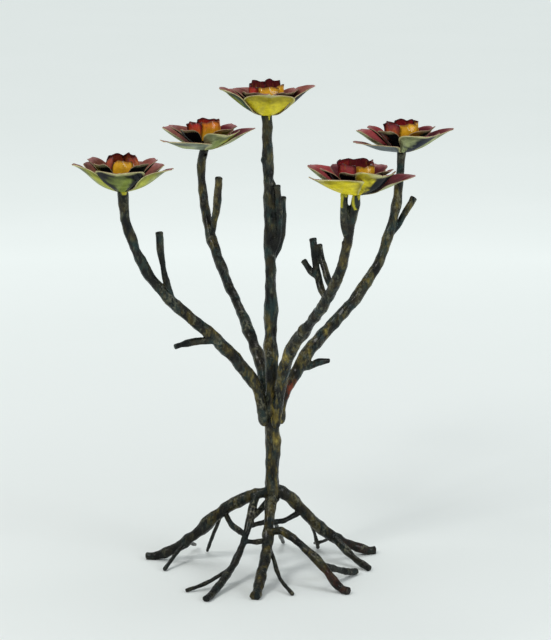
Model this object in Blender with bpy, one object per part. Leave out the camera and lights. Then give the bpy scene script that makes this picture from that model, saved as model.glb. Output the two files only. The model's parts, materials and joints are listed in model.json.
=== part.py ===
"""Iron tree candle holder: a straight trunk on a spread of roots, four side
branches with cut twigs, and five flowers of painted sheet metal that each hold a
candle. Metres, +Z up, floor at Z = 0, origin under the middle of the whole tree.
Bearings are in degrees from the front (-Y), positive towards the right (+X)."""

import math

import bmesh
import bpy
from mathutils import Matrix, Vector

# ---- driving dimensions -------------------------------------------------------
TRUNK_X, TRUNK_Y = 0.0053, -0.0080  # where the trunk's axis stands on the floor
GAP = 0.0003                      # clearance at every welded or riveted contact
ROD_SIDES = 8
RING_SPACING = 0.013              # distance between a rod's rings along its length
SHEET = 0.0009                    # sheet metal thickness
PETALS = 5                        # petals in each of a flower's three layers
RIVET_RADIUS = 0.0028
RIVET_HEAD_RADIUS = 0.0045
RIVET_SUNK = 0.0001               # how far a rivet's flat head lies below the cup's floor
RIVET_DEPTH = 0.009               # how far a rivet's shank goes into its branch
HOLE_RADIUS = RIVET_RADIUS + GAP
SINK_RADIUS = RIVET_HEAD_RADIUS + GAP  # the countersunk hole's upper edge in a cup's floor
SEAT_RADIUS = 0.009               # flat middle of the two petal layers
CUP_FLOOR_RADIUS = 0.0202         # outside; leaves a 38.6 mm wide floor, for a tealight
CUP_RIM_RADIUS = 0.0207
CUP_SEAT = (0.0066, 0.31)         # cup floor's height above the branch's end: a constant,
                                  # and a share of the middle petals' rise
OUTER_LENGTH = 0.064              # petal length past the flat seat
OUTER_CURL, MIDDLE_CURL = 0.0052, 0.0035  # how far a petal's side edges curl up
LAP = 0.0036                      # how far an outer petal's edge swings over its neighbour's

# Shape of a petal at shares of its length: half width in degrees of plan angle, share of
# its rise, share of its curl. Petals join at the flat seat, where each has 36 degrees a side.
OUTER_SHAPE = [(0.0, 36.0, 0.0, 0.0), (0.12, 34.6, 0.06, 0.12), (0.28, 37.0, 0.18, 0.55),
               (0.50, 42.0, 0.40, 0.95), (0.73, 37.5, 0.72, 1.0), (0.90, 19.0, 0.94, 0.45),
               (1.0, 3.5, 1.0, 0.0)]
MIDDLE_SHAPE = [(0.0, 36.0, 0.0, 0.0), (0.30, 34.8, 0.31, 0.40), (0.60, 34.6, 0.61, 0.90),
                (0.85, 27.0, 0.88, 0.80), (1.0, 12.0, 1.0, 0.20)]
CUP_SHAPE = [(0.0, 36.0), (0.35, 35.2), (0.70, 34.4), (1.0, 30.0)]

# ---- routes of the rods -------------------------------------------------------
# A rod that lies in one upright plane through the trunk is a bearing and a list of
# (reach from the trunk's axis, height, rod radius).
TRUNK = [(0.0, 0.0, 0.088, 0.0088), (0.0, 0.0, 0.108, 0.0094), (0.001, 0.0, 0.150, 0.0086),
         (0.0, 0.0, 0.195, 0.0088), (0.0, 0.0, 0.240, 0.0080), (-0.001, 0.0, 0.320, 0.0080),
         (-0.002, 0.0, 0.400, 0.0076), (-0.004, 0.0, 0.500, 0.0071), (-0.007, 0.0, 0.588, 0.0066)]

BRANCHES = {
    "left": (-67, [(0.0134, 0.200, 0.0042), (0.0145, 0.214, 0.0062), (0.021, 0.241, 0.0072),
                   (0.039, 0.267, 0.0078), (0.060, 0.291, 0.0078), (0.091, 0.321, 0.0075),
                   (0.128, 0.353, 0.0068), (0.160, 0.388, 0.0065), (0.181, 0.424, 0.0064),
                   (0.194, 0.458, 0.0062), (0.198, 0.480, 0.0060), (0.199, 0.503, 0.0060)]),
    "rear": (-154, [(0.0128, 0.203, 0.0046), (0.0142, 0.216, 0.0058), (0.023, 0.246, 0.0066),
                    (0.034, 0.265, 0.0070), (0.055, 0.287, 0.0070), (0.084, 0.315, 0.0066),
                    (0.116, 0.340, 0.0064), (0.152, 0.370, 0.0063), (0.181, 0.400, 0.0064),
                    (0.200, 0.432, 0.0066), (0.212, 0.465, 0.0060), (0.216, 0.495, 0.0056),
                    (0.205, 0.521, 0.0058)]),
    "front": (30, [(0.0128, 0.197, 0.0046), (0.0150, 0.214, 0.0066), (0.021, 0.238, 0.0074),
                   (0.029, 0.262, 0.0076), (0.042, 0.286, 0.0074), (0.062, 0.310, 0.0072),
                   (0.090, 0.334, 0.0070), (0.128, 0.368, 0.0066), (0.158, 0.402, 0.0064),
                   (0.174, 0.434, 0.0062), (0.186, 0.462, 0.0058), (0.194, 0.488, 0.0054),
                   (0.202, 0.513, 0.0054)]),
    "right": (116, [(0.0134, 0.200, 0.0040), (0.0150, 0.214, 0.0060), (0.022, 0.236, 0.0072),
                    (0.034, 0.254, 0.0078), (0.050, 0.278, 0.0080), (0.070, 0.298, 0.0078),
                    (0.097, 0.322, 0.0072), (0.135, 0.362, 0.0066), (0.155, 0.392, 0.0062),
                    (0.168, 0.424, 0.0060), (0.177, 0.458, 0.0056), (0.184, 0.500, 0.0052),
                    (0.186, 0.531, 0.0046)]),
}

ROOTS = {
    "left": (-102, [(0.000, 0.101, 0.0064), (0.021, 0.097, 0.0068), (0.039, 0.089, 0.0068),
                    (0.062, 0.074, 0.0072), (0.081, 0.057, 0.0076), (0.102, 0.037, 0.0076),
                    (0.124, 0.0205, 0.0066), (0.143, 0.0095, 0.0064), (0.157, 0.0044, 0.0060),
                    (0.168, 0.0036, 0.0050)]),
    "right": (114, [(0.000, 0.106, 0.0070), (0.012, 0.101, 0.0074), (0.024, 0.091, 0.0070),
                    (0.040, 0.074, 0.0064), (0.062, 0.052, 0.0068), (0.087, 0.030, 0.0068),
                    (0.110, 0.0175, 0.0062), (0.127, 0.0090, 0.0062), (0.139, 0.0044, 0.0060),
                    (0.149, 0.0041, 0.0058)]),
}

# Other rods are lists of (x from the trunk, y from the trunk, height, rod radius).
SIDE_ROOTS = {
    "root_front": [(0.000, 0.000, 0.098, 0.0066), (-0.002, -0.016, 0.090, 0.0064),
                   (-0.004, -0.032, 0.074, 0.0062), (-0.005, -0.048, 0.056, 0.0064),
                   (-0.007, -0.066, 0.040, 0.0068), (-0.012, -0.091, 0.024, 0.0064),
                   (-0.0160, -0.115, 0.0125, 0.0060), (-0.0190, -0.130, 0.0046, 0.0062),
                   (-0.0210, -0.1415, 0.0042, 0.0062)],
    "root_front_left": [(-0.019, 0.002, 0.097, 0.0040), (-0.024, -0.009, 0.086, 0.0044),
                        (-0.029, -0.024, 0.066, 0.0046), (-0.037, -0.042, 0.044, 0.0044),
                        (-0.047, -0.066, 0.027, 0.0044), (-0.060, -0.098, 0.014, 0.0048),
                        (-0.071, -0.124, 0.0065, 0.0046), (-0.077, -0.138, 0.0040, 0.0046),
                        (-0.082, -0.149, 0.0037, 0.0046)],
    "root_front_right": [(-0.004, -0.044, 0.060, 0.0040), (0.012, -0.053, 0.064, 0.0048),
                         (0.027, -0.063, 0.057, 0.0050), (0.045, -0.078, 0.044, 0.0050),
                         (0.062, -0.092, 0.031, 0.0052), (0.074, -0.102, 0.018, 0.0052),
                         (0.083, -0.109, 0.0085, 0.0054), (0.089, -0.114, 0.0046, 0.0053),
                         (0.096, -0.1195, 0.0043, 0.0051)],
}

ROOTLETS = {
    "rootlet_left_front": ("root_left", [(-0.112, 0.024, 0.028, 0.0026), (-0.127, 0.000, 0.014, 0.0027),
                                         (-0.139, -0.021, 0.0022, 0.0026)]),
    "rootlet_left_stub": ("root_left", [(-0.112, 0.024, 0.027, 0.0022), (-0.107, 0.052, 0.016, 0.0020),
                                        (-0.102, 0.080, 0.006, 0.0019)]),
    "rootlet_left_inner": ("root_left", [(-0.064, 0.013, 0.071, 0.0024), (-0.072, 0.032, 0.046, 0.0025),
                                         (-0.080, 0.049, 0.022, 0.0025), (-0.086, 0.064, 0.0022, 0.0024)]),
    "rootlet_front_left": ("root_front_left", [(-0.051, -0.075, 0.023, 0.0024), (-0.067, -0.089, 0.015, 0.0025),
                                               (-0.086, -0.101, 0.0075, 0.0024), (-0.108, -0.110, 0.0022, 0.0024)]),
    "rootlet_front": ("root_front", [(-0.004, -0.052, 0.045, 0.0022), (0.003, -0.072, 0.029, 0.0024),
                                     (0.010, -0.094, 0.013, 0.0024), (0.026, -0.125, 0.0022, 0.0024)]),
    "rootlet_front_right": ("root_front_right", [(0.062, -0.092, 0.030, 0.0038), (0.078, -0.073, 0.020, 0.0042),
                                                 (0.093, -0.053, 0.010, 0.0043), (0.108, -0.034, 0.0036, 0.0042)]),
    "rootlet_right_front": ("root_right", [(0.078, 0.035, 0.032, 0.0040), (0.093, 0.016, 0.021, 0.0044),
                                           (0.109, -0.002, 0.010, 0.0046), (0.126, -0.021, 0.0038, 0.0044)]),
    "rootlet_right_stub": ("root_right", [(0.078, 0.035, 0.030, 0.0022), (0.067, 0.064, 0.015, 0.0020),
                                          (0.056, 0.092, 0.0045, 0.0019)]),
    "rootlet_right_inner": ("root_right", [(0.040, 0.018, 0.071, 0.0024), (0.050, 0.034, 0.052, 0.0024),
                                           (0.056, 0.054, 0.029, 0.0023), (0.061, 0.078, 0.0022, 0.0022)]),
    "rootlet_rear": ("root_link_rear", [(0.004, -0.004, 0.060, 0.0022), (0.009, 0.036, 0.036, 0.0025),
                                        (0.015, 0.104, 0.0022, 0.0024)]),
}

# Links join two roots, so each names the rods that it ends on.
LINKS = {
    "root_link_left": (("root_left", "root_front_left"),
                       [(-0.062, 0.013, 0.071, 0.0038), (-0.052, -0.006, 0.058, 0.0036),
                        (-0.034, -0.034, 0.052, 0.0036)]),
    "root_link_front": (("root_front_left", "root_front"),
                        [(-0.036, -0.040, 0.046, 0.0032), (-0.020, -0.047, 0.047, 0.0034),
                         (-0.005, -0.052, 0.050, 0.0032)]),
    "root_link_rear": (("root_front_left", "root_right"),
                       [(-0.031, -0.027, 0.061, 0.0030), (-0.008, -0.006, 0.062, 0.0032),
                        (0.016, 0.003, 0.061, 0.0034), (0.042, 0.019, 0.072, 0.0034)]),
    "root_brace": (("trunk", "root_front_left", "root_front"),
                   [(-0.002, 0.003, 0.094, 0.0030), (-0.014, -0.006, 0.079, 0.0034),
                    (-0.028, -0.021, 0.070, 0.0032)]),
}

TWIGS = {
    "twig_left_tall": ("branch_left", [(-0.113, -0.048, 0.345, 0.0036), (-0.124, -0.052, 0.363, 0.0040),
                                       (-0.133, -0.056, 0.392, 0.0042), (-0.138, -0.058, 0.425, 0.0043),
                                       (-0.140, -0.059, 0.449, 0.0041)]),
    "twig_left_low": ("branch_left", [(-0.068, -0.029, 0.304, 0.0036), (-0.090, -0.038, 0.307, 0.0040),
                                      (-0.108, -0.046, 0.305, 0.0044), (-0.122, -0.052, 0.302, 0.0036)]),
    "twig_rear": ("branch_rear", [(-0.079, 0.170, 0.413, 0.0038), (-0.077, 0.163, 0.430, 0.0044),
                                  (-0.072, 0.155, 0.458, 0.0048), (-0.070, 0.152, 0.488, 0.0047)]),
    "twig_trunk_long": ("trunk", [(-0.002, -0.001, 0.408, 0.0034), (0.0075, -0.004, 0.430, 0.0042),
                                  (0.0085, -0.006, 0.465, 0.0044), (0.0065, -0.006, 0.500, 0.0040)]),
    "twig_trunk_short": ("trunk", [(-0.002, 0.002, 0.394, 0.0030), (0.0085, 0.004, 0.420, 0.0040),
                                   (0.0140, 0.003, 0.450, 0.0046), (0.0135, 0.002, 0.484, 0.0038)]),
    "twig_front_tall": ("branch_front", [(0.068, -0.117, 0.374, 0.0036), (0.061, -0.107, 0.384, 0.0040),
                                         (0.056, -0.098, 0.404, 0.0044), (0.052, -0.092, 0.426, 0.0046),
                                         (0.050, -0.089, 0.446, 0.0044)]),
    "twig_front_low": ("twig_front_tall", [(0.0562, -0.1003, 0.3985, 0.0028), (0.048, -0.092, 0.405, 0.0040),
                                           (0.039, -0.085, 0.418, 0.0042)]),
    "twig_front_inner": ("branch_front", [(0.074, -0.124, 0.388, 0.0036), (0.067, -0.108, 0.404, 0.0040),
                                          (0.062, -0.099, 0.420, 0.0040), (0.058, -0.092, 0.439, 0.0036)]),
    "twig_front_prop": ("branch_front", [(0.092, -0.156, 0.452, 0.0030), (0.087, -0.167, 0.472, 0.0040),
                                         (0.0865, -0.171, 0.492, 0.0042), (0.087, -0.172, 0.5135, 0.0038)]),
    "twig_right_tall": ("branch_right", [(0.151, 0.074, 0.421, 0.0034), (0.162, 0.080, 0.434, 0.0040),
                                         (0.173, 0.085, 0.452, 0.0042), (0.184, 0.090, 0.470, 0.0043)]),
    "twig_right_low": ("branch_right", [(0.034, 0.017, 0.258, 0.0034), (0.047, 0.020, 0.262, 0.0044),
                                        (0.060, 0.024, 0.266, 0.0046), (0.074, 0.028, 0.267, 0.0026)]),
}

# ---- flowers ------------------------------------------------------------------
# heading: bearing of the first outer petal. Petals run anticlockwise seen from above.
# bends: how steeply each outer petal rises, in degrees. turns: how far its tip swings
# anticlockwise, in degrees. laps: 1 where it passes under the next petal, -1 where over.
# middle: length past the seat, bend and turn of the middle petals. cup: height of its rim.
FLOWERS = {
    "left": dict(on="branch_left", heading=0, bends=(28, 28, 25, 26, 33), turns=(0, 0, 0, 0, 0),
                 laps=(-1, 1, -1, -1, 1), middle=(0.050, 42, 0), cup=0.045),
    "rear": dict(on="branch_rear", heading=-47, bends=(14, 24, 24, 18, 24), turns=(1, 6, 3, 0, -11),
                 laps=(1, -1, 1, -1, -1), middle=(0.046, 38, -17), cup=0.040),
    "top": dict(on="trunk", heading=6, bends=(30, 35, 24, 24, 33), turns=(0, 0, 0, 0, 0),
                laps=(1, 1, 1, -1, -1), middle=(0.044, 42, 0), cup=0.042),
    "front": dict(on="branch_front", heading=-44, bends=(22, 28, 20, 20, 28), turns=(-7, -1, -7, 0, -6),
                  laps=(1, -1, 1, -1, -1), middle=(0.046, 40, 0), cup=0.041),
    "right": dict(on="branch_right", heading=-50, bends=(14, 24, 27, 18, 21), turns=(-9, 7, -8, 0, -8),
                  laps=(1, -1, 1, -1, -1), middle=(0.046, 39, -16), cup=0.040),
}

# ---- materials ----------------------------------------------------------------
IRON = ("forged_iron", (0.05, 0.045, 0.035), 0.55, 0.6)
OUTER_PAINT = ("outer_petal_paint", (0.62, 0.64, 0.25), 0.30, 0.0)
MIDDLE_PAINT = ("middle_petal_paint", (0.33, 0.12, 0.12), 0.30, 0.0)
CUP_PAINT = ("cup_paint", (0.75, 0.30, 0.08), 0.28, 0.0)
RIVET_STEEL = ("rivet_steel", (0.35, 0.33, 0.30), 0.40, 0.9)


def material(spec):
    """The Principled material of that name, colour, roughness and metallic value."""
    name, colour, roughness, metallic = spec
    found = bpy.data.materials.get(name)
    if found:
        return found
    made = bpy.data.materials.new(name)
    made.use_nodes = True
    shader = made.node_tree.nodes["Principled BSDF"]
    shader.inputs["Base Color"].default_value = (*colour, 1.0)
    shader.inputs["Roughness"].default_value = roughness
    shader.inputs["Metallic"].default_value = metallic
    return made


def add_object(name, bm, spec, smooth_angle=40):
    """A mesh object made from bm, hung on the tree's empty."""
    bmesh.ops.recalc_face_normals(bm, faces=bm.faces)
    mesh = bpy.data.meshes.new(name)
    bm.to_mesh(mesh)
    bm.free()
    mesh.shade_smooth()
    mesh.set_sharp_from_angle(angle=math.radians(smooth_angle))
    obj = bpy.data.objects.new(name, mesh)
    mesh.materials.append(material(spec))
    bpy.context.scene.collection.objects.link(obj)
    obj.parent = bpy.data.objects["tree"]
    return obj


# ---- rods ---------------------------------------------------------------------
def in_plane(bearing, stations):
    """(reach, height, radius) in the upright plane of a bearing, as (x, y, z, radius)."""
    angle = math.radians(bearing)
    return [(reach * math.sin(angle), -reach * math.cos(angle), height, radius)
            for reach, height, radius in stations]


def smooth_route(stations, spacing=RING_SPACING):
    """Points and radii about one spacing apart on a Catmull-Rom curve through the stations."""
    knots = [Vector(s) for s in stations]
    knots = [2 * knots[0] - knots[1], *knots, 2 * knots[-1] - knots[-2]]
    found = []
    for a, b, c, d in zip(knots, knots[1:], knots[2:], knots[3:]):
        steps = max(1, round((c - b).xyz.length / spacing))
        for i in range(steps):
            t = i / steps
            found.append(0.5 * (2 * b + (c - a) * t + (2 * a - 5 * b + 4 * c - d) * t**2
                                + (3 * b - a - 3 * c + d) * t**3))
    found.append(knots[-2])
    return [(p.xyz, p.w) for p in found]


def ring_frames(points):
    """Tangent and two normals at each point, turned as little as possible along the way."""
    tangents = [(points[min(i + 1, len(points) - 1)] - points[max(i - 1, 0)]).normalized()
                for i in range(len(points))]
    across = tangents[0].orthogonal().normalized()
    frames = []
    for tangent in tangents:
        across = (across - tangent * across.dot(tangent)).normalized()
        frames.append((tangent, across, tangent.cross(across)))
    return frames


def lathe_rings(bm, rings, sides):
    """Skins rings of (centre, radius, u, v) into a closed body. A ring of radius 0 is a point."""
    loops = []
    for centre, radius, u, v in rings:
        if radius == 0:
            loops.append([bm.verts.new(centre)] * sides)
            continue
        loops.append([bm.verts.new(centre + radius * (math.cos(a) * u + math.sin(a) * v))
                      for a in (2 * math.pi * k / sides for k in range(sides))])
    for low, high in zip(loops, loops[1:]):
        for k in range(sides):
            n = (k + 1) % sides
            corners = list(dict.fromkeys((low[k], low[n], high[n], high[k])))
            bm.faces.new(corners)


def rod(name, stations, extra=0.0, seat=None, cut_by=()):
    """A round bar along the stations. seat, a flower's axis, drills its upper end for a rivet.
    extra widens it, for use as a cutter. cut_by names the rods that its ends are coped to."""
    samples = smooth_route(stations)
    points = [p for p, _ in samples]
    frames = ring_frames(points)
    rings = []
    for (point, radius), (_, u, v) in zip(samples, frames):
        rings.append((point, radius + extra, u, v))
    start, end = rings[0], rings[-1]
    rings.insert(0, (start[0], 0, start[2], start[3]))
    if seat is None:
        rings.append((end[0], 0, end[2], end[3]))
    else:
        top, u, v = seat
        bottom = top - RIVET_DEPTH * u.cross(v)
        rings[-1] = (top, end[1], u, v)
        rings += [(top, HOLE_RADIUS, u, v), (bottom, HOLE_RADIUS, u, v), (bottom, 0, u, v)]
    bm = bmesh.new()
    lathe_rings(bm, rings, ROD_SIDES)
    if not extra:
        for vert in bm.verts:
            vert.co.z = max(vert.co.z, 0.0)
    obj = add_object(name, bm, IRON)
    for parent in cut_by:
        cope(obj, parent)
    return obj


def cope(obj, parent):
    """Cuts obj's end to the surface of another rod, leaving the gap between them."""
    cutter_name = "cutter_" + parent
    cutter = bpy.data.objects.get(cutter_name)
    if cutter is None:
        cutter = rod(cutter_name, ROUTE[parent], extra=GAP)
        cutter.hide_render = True
        cutter.display_type = "WIRE"
    cut = obj.modifiers.new("cope_to_" + parent, "BOOLEAN")
    cut.operation = "DIFFERENCE"
    cut.solver = "EXACT"
    cut.object = cutter


def flower_axes(stations):
    """Top of a branch and two level directions there. Flowers sit level on a filed end."""
    points = [p for p, _ in smooth_route(stations)]
    across = ring_frames(points)[-1][1]
    across = Vector((across.x, across.y, 0)).normalized()
    return points[-1], across, Vector((0, 0, 1)).cross(across)


# ---- petal layers -------------------------------------------------------------
def between_rows(t, shape):
    """The values of a petal's shape at a share t of its length."""
    for low, high in zip(shape, shape[1:]):
        if t <= high[0]:
            s = (t - low[0]) / (high[0] - low[0])
            return [a + (b - a) * s for a, b in zip(low[1:], high[1:])]
    return list(shape[-1][1:])


def bowl_point(t, v, length, bend, curl, shape, lap=0.0):
    """A point of a bowl-shaped petal at t along it and v (-1 to 1) across it."""
    half_width, rise, curling = between_rows(t, shape)
    radius = SEAT_RADIUS + length * math.cos(bend) * t
    passing = lap * min(1.0, t / 0.4, (1 - t) / 0.25) * abs(v) ** 3
    height = length * math.sin(bend) * rise + curl * curling * v * v + passing
    return radius, v * math.radians(half_width), height


def outer_point(petal, t, v, bends, turns, laps):
    """A point of an outer petal, whose edges pass over or under its neighbours'."""
    lap = -LAP * laps[petal] if v > 0 else LAP * laps[petal - 1]
    radius, angle, height = bowl_point(t, v, OUTER_LENGTH, math.radians(bends[petal]),
                                       OUTER_CURL, OUTER_SHAPE, lap)
    return radius, angle + math.radians(turns[petal]) * t, height


def cup_point(t, v, height):
    """A point of a cup petal: nearly upright, with a notch in the middle of its top."""
    radius = CUP_FLOOR_RADIUS + (CUP_RIM_RADIUS - CUP_FLOOR_RADIUS) * t
    crest = 0.93 + 0.07 * math.sin(math.pi * v) ** 2 - 0.10 * v**8
    half_width, = between_rows(t, CUP_SHAPE)
    return radius, v * math.radians(half_width), height * t * (1 + (crest - 1) * t)


def sheet_star(name, floor_radii, hole_radii, point_of, shape, columns, base, spec, place):
    """A stamping of PETALS petals round a flat middle with a rivet hole, as one closed sheet.
    floor_radii and hole_radii are the middle's edge and its hole, each at the sheet's
    underside and top. point_of(petal, t, v) gives radius, angle and height of the underside."""
    bm = bmesh.new()
    around = PETALS * columns

    def at(radius, angle, height):
        return Vector((radius * math.cos(angle), radius * math.sin(angle), base + height))

    def surface(petal, t, v):
        radius, angle, height = point_of(petal, t, v)
        return at(radius, 2 * math.pi * petal / PETALS + angle, height)

    def both_sides(petal, t, v, step=1e-3):
        """The underside and the top of the sheet at one sample."""
        here = surface(petal, t, v)
        along = surface(petal, min(1.0, t + step), v) - surface(petal, t - step, v)
        inner, outer = max(-1.0, v - step), min(1.0, v + step)
        across = surface(petal, t, outer) - surface(petal, t, inner)
        return bm.verts.new(here), bm.verts.new(here + SHEET * along.cross(across).normalized())

    def ring(radius, height):
        turns = (2 * math.pi * k / around - math.pi / PETALS for k in range(around))
        return [bm.verts.new(at(radius, turn, height)) for turn in turns]

    low_rim, high_rim = (ring(r, height) for r, height in zip(floor_radii, (0, SHEET)))
    low_hole, high_hole = (ring(r, height) for r, height in zip(hole_radii, (0, SHEET)))
    for k in range(around):
        n = (k + 1) % around
        bm.faces.new((low_rim[n], low_rim[k], low_hole[k], low_hole[n]))
        bm.faces.new((high_rim[k], high_rim[n], high_hole[n], high_hole[k]))
        bm.faces.new((low_hole[k], high_hole[k], high_hole[n], low_hole[n]))
    for petal in range(PETALS):
        index = [(petal * columns + c) % around for c in range(columns + 1)]
        low, high = [low_rim[i] for i in index], [high_rim[i] for i in index]
        for t in (row[0] for row in shape[1:]):
            row = [both_sides(petal, t, 2 * c / columns - 1) for c in range(columns + 1)]
            new_low, new_high = zip(*row)
            for c in range(columns):
                bm.faces.new((low[c + 1], low[c], new_low[c], new_low[c + 1]))
                bm.faces.new((high[c], high[c + 1], new_high[c + 1], new_high[c]))
            bm.faces.new((low[0], high[0], new_high[0], new_low[0]))
            bm.faces.new((high[-1], low[-1], new_low[-1], new_high[-1]))
            low, high = new_low, new_high
        for c in range(columns):
            bm.faces.new((low[c + 1], low[c], high[c], high[c + 1]))
    bm.transform(place)
    return add_object(name, bm, spec, smooth_angle=60)


def flower_place(axes, heading):
    """The matrix that stands a flower on its branch's end with its first petal on the heading."""
    top, u, v = axes
    up = u.cross(v)
    turn = math.radians(heading)
    ahead = Vector((math.sin(turn), -math.cos(turn), 0))
    ahead = (ahead - up * ahead.dot(up)).normalized()
    side = up.cross(ahead)
    return Matrix.Translation(top) @ Matrix((ahead, side, up)).transposed().to_4x4()


def flower(name, axes, heading, bends, turns, laps, middle, cup):
    """Two layers of petals and a candle cup, nested and riveted to a branch's end. The
    rivet's head is countersunk, so a candle stands flat on the cup's floor."""
    place = flower_place(axes, heading)
    middle_turn = Matrix.Rotation(math.pi / PETALS + math.radians(middle[2]), 4, "Z")
    length, bend = middle[0], math.radians(middle[1])
    outer_base = GAP
    middle_base = outer_base + SHEET + GAP
    cup_floor = CUP_SEAT[0] + CUP_SEAT[1] * length * math.sin(bend)
    cup_base = cup_floor - SHEET
    seat_radii, hole_radii = (SEAT_RADIUS, SEAT_RADIUS), (HOLE_RADIUS, HOLE_RADIUS)
    sheet_star(f"flower_{name}_outer_petals", seat_radii, hole_radii,
               lambda petal, t, v: outer_point(petal, t, v, bends, turns, laps),
               OUTER_SHAPE, 4, outer_base, OUTER_PAINT, place)
    sheet_star(f"flower_{name}_middle_petals", seat_radii, hole_radii,
               lambda petal, t, v: bowl_point(t, v, length, bend, MIDDLE_CURL, MIDDLE_SHAPE),
               MIDDLE_SHAPE, 4, middle_base, MIDDLE_PAINT, place @ middle_turn)
    sheet_star(f"flower_{name}_candle_cup", (CUP_FLOOR_RADIUS, CUP_FLOOR_RADIUS - SHEET),
               (HOLE_RADIUS, SINK_RADIUS),
               lambda petal, t, v: cup_point(t, v, cup - cup_base),
               CUP_SHAPE, 6, cup_base, CUP_PAINT, place)
    rivet(f"flower_{name}_rivet", cup_base, cup_floor - RIVET_SUNK, place)


def rivet(name, neck, head, place):
    """A flower's rivet: a shank in the branch's hole that flares from its neck to a flat
    countersunk head. neck and head are heights above the branch's end."""
    u, v, up = (Vector(column) for column in place.to_3x3().transposed())
    seat = place.translation
    foot = -RIVET_DEPTH + GAP
    profile = [(foot, 0), (foot, RIVET_RADIUS), (neck, RIVET_RADIUS), (head, RIVET_HEAD_RADIUS),
               (head, 0)]
    bm = bmesh.new()
    lathe_rings(bm, [(seat + height * up, radius, u, v) for height, radius in profile], ROD_SIDES)
    add_object(name, bm, RIVET_STEEL)


# ---- assembly -----------------------------------------------------------------
for old in list(bpy.data.objects):
    bpy.data.objects.remove(old, do_unlink=True)

tree = bpy.data.objects.new("tree", None)
bpy.context.scene.collection.objects.link(tree)
tree.location = (TRUNK_X, TRUNK_Y, 0)

ROUTE = {"trunk": TRUNK}
for key, (bearing, stations) in BRANCHES.items():
    ROUTE["branch_" + key] = in_plane(bearing, stations)
for key, (bearing, stations) in ROOTS.items():
    ROUTE["root_" + key] = in_plane(bearing, stations)
ROUTE.update(SIDE_ROOTS)
ROUTE.update({key: stations for key, (_, stations) in {**ROOTLETS, **LINKS, **TWIGS}.items()})

CUT_BY = {
    "root_left": ("trunk",),
    "root_front": ("trunk", "root_left"),
    "root_right": ("trunk", "root_left", "root_front"),
    "root_front_left": ("trunk", "root_left", "root_front"),
    "root_front_right": ("root_front",),
}
for key, (parent, _) in {**ROOTLETS, **TWIGS}.items():
    CUT_BY[key] = (parent,)
for key, (parents, _) in LINKS.items():
    CUT_BY[key] = parents
for key, more in {
    "rootlet_left_stub": ("rootlet_left_front",),
    "rootlet_left_inner": ("root_link_left",),
    "rootlet_right_stub": ("rootlet_right_front",),
    "root_link_front": ("rootlet_front",),
}.items():
    CUT_BY[key] += more

SEATED = {petals["on"]: key for key, petals in FLOWERS.items()}
for name, stations in ROUTE.items():
    seat = flower_axes(stations) if name in SEATED else None
    rod(name, stations, seat=seat, cut_by=CUT_BY.get(name, ()))
for name, petals in FLOWERS.items():
    settings = {key: value for key, value in petals.items() if key != "on"}
    axes = flower_axes(ROUTE[petals["on"]])
    flower(name, axes, **settings)
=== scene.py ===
"""Looks of an iron tree candle holder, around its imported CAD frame.

The bars become one welded piece with lumps like bark, and each flower's petal layers,
cup and rivet are remade as finer sheet metal with hand-painted enamel. Metres, +Z up,
front towards -Y. Bearings are in degrees from the front, positive towards the right."""
import json
import math

import bmesh
import bpy
import numpy as np
from mathutils import Matrix, Vector, noise
from mathutils.kdtree import KDTree


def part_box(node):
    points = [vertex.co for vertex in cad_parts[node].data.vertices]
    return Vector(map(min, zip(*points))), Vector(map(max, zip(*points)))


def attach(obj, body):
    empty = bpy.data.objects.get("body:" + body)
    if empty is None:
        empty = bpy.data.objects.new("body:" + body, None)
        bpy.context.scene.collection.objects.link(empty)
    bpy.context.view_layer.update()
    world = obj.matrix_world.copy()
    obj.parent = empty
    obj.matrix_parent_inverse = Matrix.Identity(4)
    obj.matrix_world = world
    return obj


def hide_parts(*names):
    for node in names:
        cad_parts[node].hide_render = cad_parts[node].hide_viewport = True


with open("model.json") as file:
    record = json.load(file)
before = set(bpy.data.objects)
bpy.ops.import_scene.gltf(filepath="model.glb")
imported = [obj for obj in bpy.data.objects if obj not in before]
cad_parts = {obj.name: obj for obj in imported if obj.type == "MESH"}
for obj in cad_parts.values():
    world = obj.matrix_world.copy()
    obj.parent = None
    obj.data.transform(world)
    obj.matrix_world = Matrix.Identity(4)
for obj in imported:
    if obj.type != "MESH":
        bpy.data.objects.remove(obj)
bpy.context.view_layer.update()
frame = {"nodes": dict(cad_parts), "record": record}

# ---- driving dimensions -------------------------------------------------------
VOXEL = 0.0011            # the welded ironwork's mesh size
SWELL = 0.0004            # what remeshing and smoothing take off a bar's radius
WELD_RADIUS, WELD_TALL = 0.0072, 1.6      # weld on a branch's foot, and its height over width
WELD_INWARDS, WELD_RISE = 0.003, 0.001    # its middle, from the foot's
LUMP, DENT = 0.25, 0.38   # depth of lumps and hammer marks, as shares of a bar's radius
LUMP_SIZE, DENT_SIZE = 0.019, 0.0115
LUMP_SLIM, DENT_SLIM = 0.55, 0.62         # width over height
LUMP_GAIN = 1.6           # brings the smooth noise up to about -1 to 1
DENT_MIDDLE = 0.45        # the cell noise's middle value, so that dents average about 0
DENT_FROM, DENT_TO = -0.02, -0.20         # dents take painted shade between these shares of the radius
LUMP_FROM, LUMP_TO = 0.08, 0.26           # lumps take wear and a painted highlight between these shares
FLOOR_EASE = 0.004        # the lumps grow in over this height above the floor
FLARE, FLARE_START, FLARE_END = 0.0007, 0.006, 0.001      # burr below a twig's cut top
CUT_START, CUT_END = 0.0022, 0.0008       # the darkening below a twig's cut top
ROOT_LOW, ROOT_HIGH = 0.07, 0.19          # the roots' darkening fades between these heights
DARK_CUT, DARK_DENT, DARK_ROOT, WEAR_HIGHLIGHT_STRENGTH = 0.80, 0.85, 0.55, 0.70    # strengths of the marks; the dents' darkening is painted shade, the lumps' brightening is wear and a painted highlight
MARK_FADE = 0.012         # an ochre or rust mark fades out over this height
KNOT_REACH = 0.007        # a knot's middle from its bar's axis
FOOT_SLICE, TOP_SLICE, KNOT_SLICE = 0.0005, 0.0012, 0.010     # heights that points are read over
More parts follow.
